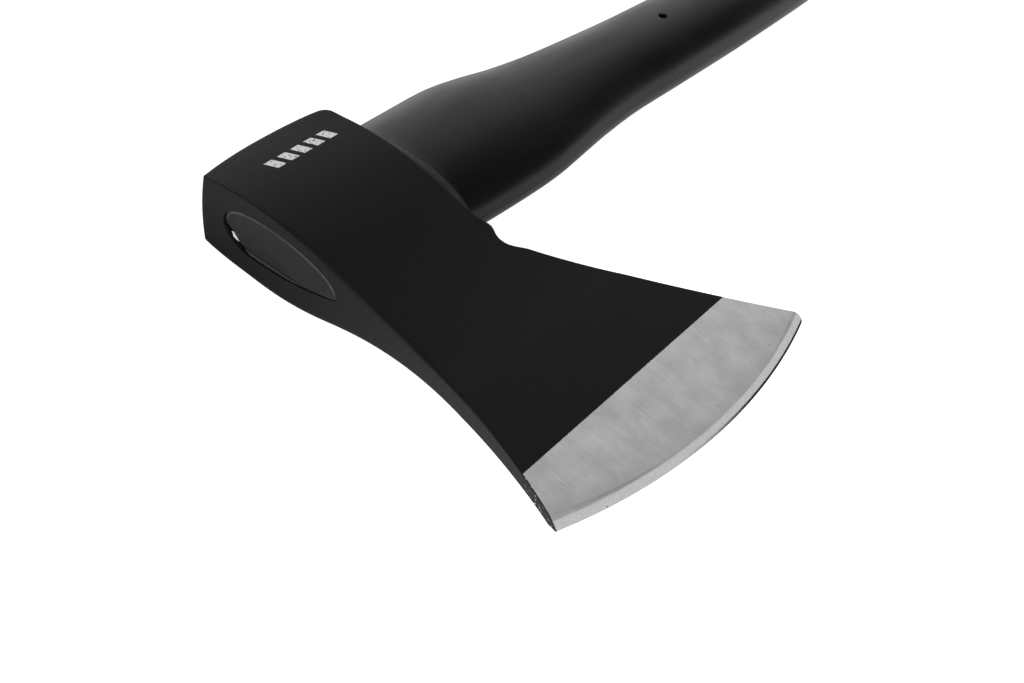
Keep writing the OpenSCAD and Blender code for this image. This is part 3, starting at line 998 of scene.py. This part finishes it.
def resin_mesh():
    """The ring of resin in the eye: sunk along its borders, nearly flush in its wide lower part."""
    across = np.linspace(0, 1, 11)
    inner = eye_ring(RESIN_RECESS, PLUG_GAP, LOWER_GAP)
    outer = eye_ring(RESIN_RECESS, -RESIN_OVERLAP)
    width = np.hypot(*(outer - inner)[:, (0, 2)].T)
    rings = []
    for share in across:
        ring = inner * (1 - share) + outer * share
        crown = RESIN_CROWN * (1 - (2 * share - 1) ** 4) * smoothstep(0.5, 1.2, width)
        ring[:, 1] += 0.09 * wobble(ring, 1.5, 1) - crown
        rings.append(ring)
    rings.append(eye_ring(LUG_HEIGHT, -RESIN_OVERLAP))
    rings.append(eye_ring(LUG_HEIGHT, PLUG_GAP, LOWER_GAP))
    points = np.concatenate(rings)
    faces = grid_faces(len(rings), len(rings[0]), closed_rows=True, closed_columns=True)
    return points, faces


resin = make_object("eye_bond", *resin_mesh())
combine(resin, void_cutter(VOID_DEPTH + 0.6), "DIFFERENCE")
finish_piece(resin, resin_material(), "eye_resin", 50)


def bead_mesh():
    """The squeezed-out bead: it fills the corner between the lug's edge and the handle's shoulder."""
    plain = handle_ring(LUG_HEIGHT, 0)
    steep = smoothstep(0.3, 0.75, np.abs(plain[:, 2]) / plain[:, 2].max())
    lug_edge = cheek(plain[:, 0]) - LUG_ROUND
    height = np.clip(lug_edge - np.abs(plain[:, 2]), BEAD_LEAST, BEAD_MOST)
    start_growth = BEAD_GROWTH + (height - BEAD_GROWTH) * steep
    rings = [handle_ring(LUG_HEIGHT + BEAD_FOOT * RESIN_BEAD, BEAD_INSIDE)]
    for share, rise in BEAD_PROFILE:
        ring = handle_ring(LUG_HEIGHT + share * RESIN_BEAD, 0)
        middle = np.array([ring[:, 0].mean(), ring[0, 1], 0.0])
        outward = (ring - middle) * (1 / smooth_section([ring[0, 1]])[0][1] ** 2, 0, 1 / 13.2 ** 2)
        outward /= np.linalg.norm(outward, axis=1)[:, None]
        uneven = (0.16 * wobble(ring, 6.0, 2) + 0.07 * wobble(ring, 1.6, 3)) * rise
        rings.append(ring + outward * (start_growth * rise + uneven + 0.05)[:, None])
    rings.append(handle_ring(LUG_HEIGHT + RESIN_BEAD, BEAD_INSIDE))
    points = np.concatenate(rings)
    faces = grid_faces(len(rings), len(rings[0]), closed_rows=True, closed_columns=True)
    return points, faces


bead = make_object("shoulder_bead", *bead_mesh())
finish_piece(bead, bead_material(), None, 50)


def glue_mesh():
    """A crumb of cured glue standing in the void, long and lumpy."""
    rings = []
    for share in np.linspace(0, 1, 15):
        centre = np.array([-21.7 + 3.1 * share, 0.5 + 0.4 * share, -1.75 - 2.8 * share])
        radius = 0.68 * math.sqrt(max(1 - (2 * share - 1) ** 2, 0.0004))
        turns = np.linspace(0, 2 * math.pi, 16, endpoint=False)
        across, upward = np.cos(turns), np.sin(turns)
        ring = centre + radius * np.stack([0.5 * across, 1.1 * upward, 0.85 * across], 1)
        rings.append(ring + 0.3 * wobble(ring, 1.1, 8)[:, None] * (0.6, 1, 0.6))
    return rings


glue = prism("glue_crumb", glue_mesh())
finish_piece(glue, glue_material(), None, 60)

# ---------- Build: grip sleeve ----------

def grip_mesh():
    """The rubber sleeve, with shallow finger bands round it."""
    levels = np.linspace(GRIP_START, GRIP_END, 209)
    rings = []
    for level in levels:
        edge_gap = min(level - GRIP_START, GRIP_END - level)
        rise = GRIP_PROUD * float(smoothstep(0, 2.0, edge_gap))
        phase = (level - GRIP_START) % GRIP_BAND_PITCH / GRIP_BAND_PITCH
        band = GRIP_BAND_DEPTH * float(smoothstep(0.32, 0.5, phase) * smoothstep(0.98, 0.8, phase))
        inside = float(smoothstep(10, 14, edge_gap))
        rings.append(handle_ring(level, rise - band * inside))
    recess = GRIP_THICKNESS - GRIP_PROUD
    for level in levels[::-8]:
        rings.append(handle_ring(level, -recess))
    points = np.concatenate(rings)
    faces = grid_faces(len(rings), len(rings[0]), closed_rows=True, closed_columns=True)
    return points, faces


grip = make_object("rubber_sleeve", *grip_mesh())
finish_piece(grip, rubber_material(), "grip_sleeve", 40)

# The core is shown as the CAD made it, in its own material.
core = frame["nodes"]["fibreglass_core"]
core.data.materials.clear()
core.data.materials.append(core_material())

# ---------- Floor, light and camera ----------

floor_mesh = bpy.data.meshes.new("table_top")
floor_corners = [(x * HALF_FLOOR_M, y * HALF_FLOOR_M, 0) for x, y in ((-1, -1), (1, -1), (1, 1), (-1, 1))]
floor_mesh.from_pydata(floor_corners, [], [(0, 1, 2, 3)])
floor = bpy.data.objects.new("table_top", floor_mesh)
bpy.context.scene.collection.objects.link(floor)
floor_mesh.materials.append(floor_material())


def studio_world():
    """Soft surroundings: a broad light to the left behind, a fill by the camera and a pale horizon."""
    world = bpy.data.worlds.new("studio")
    world.use_nodes = True
    tree = world.node_tree
    background = tree.nodes["Background"]
    background.inputs["Color"].default_value = (1, 1, 1, 1)
    direction = tree.nodes.new("ShaderNodeTexCoord").outputs["Generated"]

    def fade(value, low, high, start, end):
        node = tree.nodes.new("ShaderNodeMapRange")
        node.interpolation_type = "SMOOTHSTEP"
        for name, given in zip(RANGE_SOCKETS, (low, high, start, end)):
            node.inputs[name].default_value = given
        tree.links.new(value, node.inputs["Value"])
        return node.outputs[0]

    def joined(operation, a, b):
        node = tree.nodes.new("ShaderNodeMath")
        node.operation = operation
        tree.links.new(a, node.inputs[0])
        tree.links.new(b, node.inputs[1])
        return node.outputs[0]

    def towards(axis):
        node = tree.nodes.new("ShaderNodeVectorMath")
        node.operation = "DOT_PRODUCT"
        tree.links.new(direction, node.inputs[0])
        node.inputs[1].default_value = axis
        return node.outputs["Value"]

    split = tree.nodes.new("ShaderNodeSeparateXYZ")
    tree.links.new(direction, split.inputs[0])
    height = split.outputs[2]
    key = fade(towards(KEY_DIRECTION), 0.28, 0.8, 0.0, KEY_STRENGTH)
    key = joined("MULTIPLY", key, fade(height, 0.5, 0.95, 1.0, 0.0))
    horizon = fade(towards(FRONT_DIRECTION), -0.1, 0.7, HORIZON_STRENGTH, FRONT_STRENGTH)
    horizon = joined("MULTIPLY", horizon, fade(height, 0.0, 0.33, 1.0, 0.0))
    horizon = joined("MULTIPLY", horizon, fade(key, 0.0, 1.0, 1.0, 0.0))
    overhead = fade(height, 0.0, 0.3, 0.0, OVERHEAD_STRENGTH)
    fill = fade(towards(FILL_DIRECTION), 0.6, 0.92, 0.0, FILL_STRENGTH)
    total = joined("ADD", joined("ADD", key, horizon), joined("ADD", overhead, fill))
    tree.links.new(total, background.inputs["Strength"])
    return world


bpy.context.scene.world = studio_world()
bpy.context.scene.view_settings.view_transform = "Standard"

back = Vector((
    math.sin(CAMERA_AZIMUTH) * math.cos(CAMERA_ELEVATION),
    -math.cos(CAMERA_AZIMUTH) * math.cos(CAMERA_ELEVATION),
    math.sin(CAMERA_ELEVATION),
))
right = Vector((math.cos(CAMERA_AZIMUTH), math.sin(CAMERA_AZIMUTH), 0))
up = back.cross(right)
tilted_right = right * math.cos(CAMERA_ROLL) + up * math.sin(CAMERA_ROLL)
tilted_up = up * math.cos(CAMERA_ROLL) - right * math.sin(CAMERA_ROLL)
camera_data = bpy.data.cameras.new("camera")
camera_data.lens = CAMERA_LENS
camera_data.sensor_width = 36.0
camera_data.clip_start = 0.01
camera = bpy.data.objects.new("camera", camera_data)
camera.matrix_world = Matrix.Translation(CAMERA_TARGET + back * CAMERA_DISTANCE) @ Matrix((
    (tilted_right.x, tilted_up.x, back.x, 0),
    (tilted_right.y, tilted_up.y, back.y, 0),
    (tilted_right.z, tilted_up.z, back.z, 0),
    (0, 0, 0, 1),
))
bpy.context.scene.collection.objects.link(camera)
bpy.context.scene.camera = camera
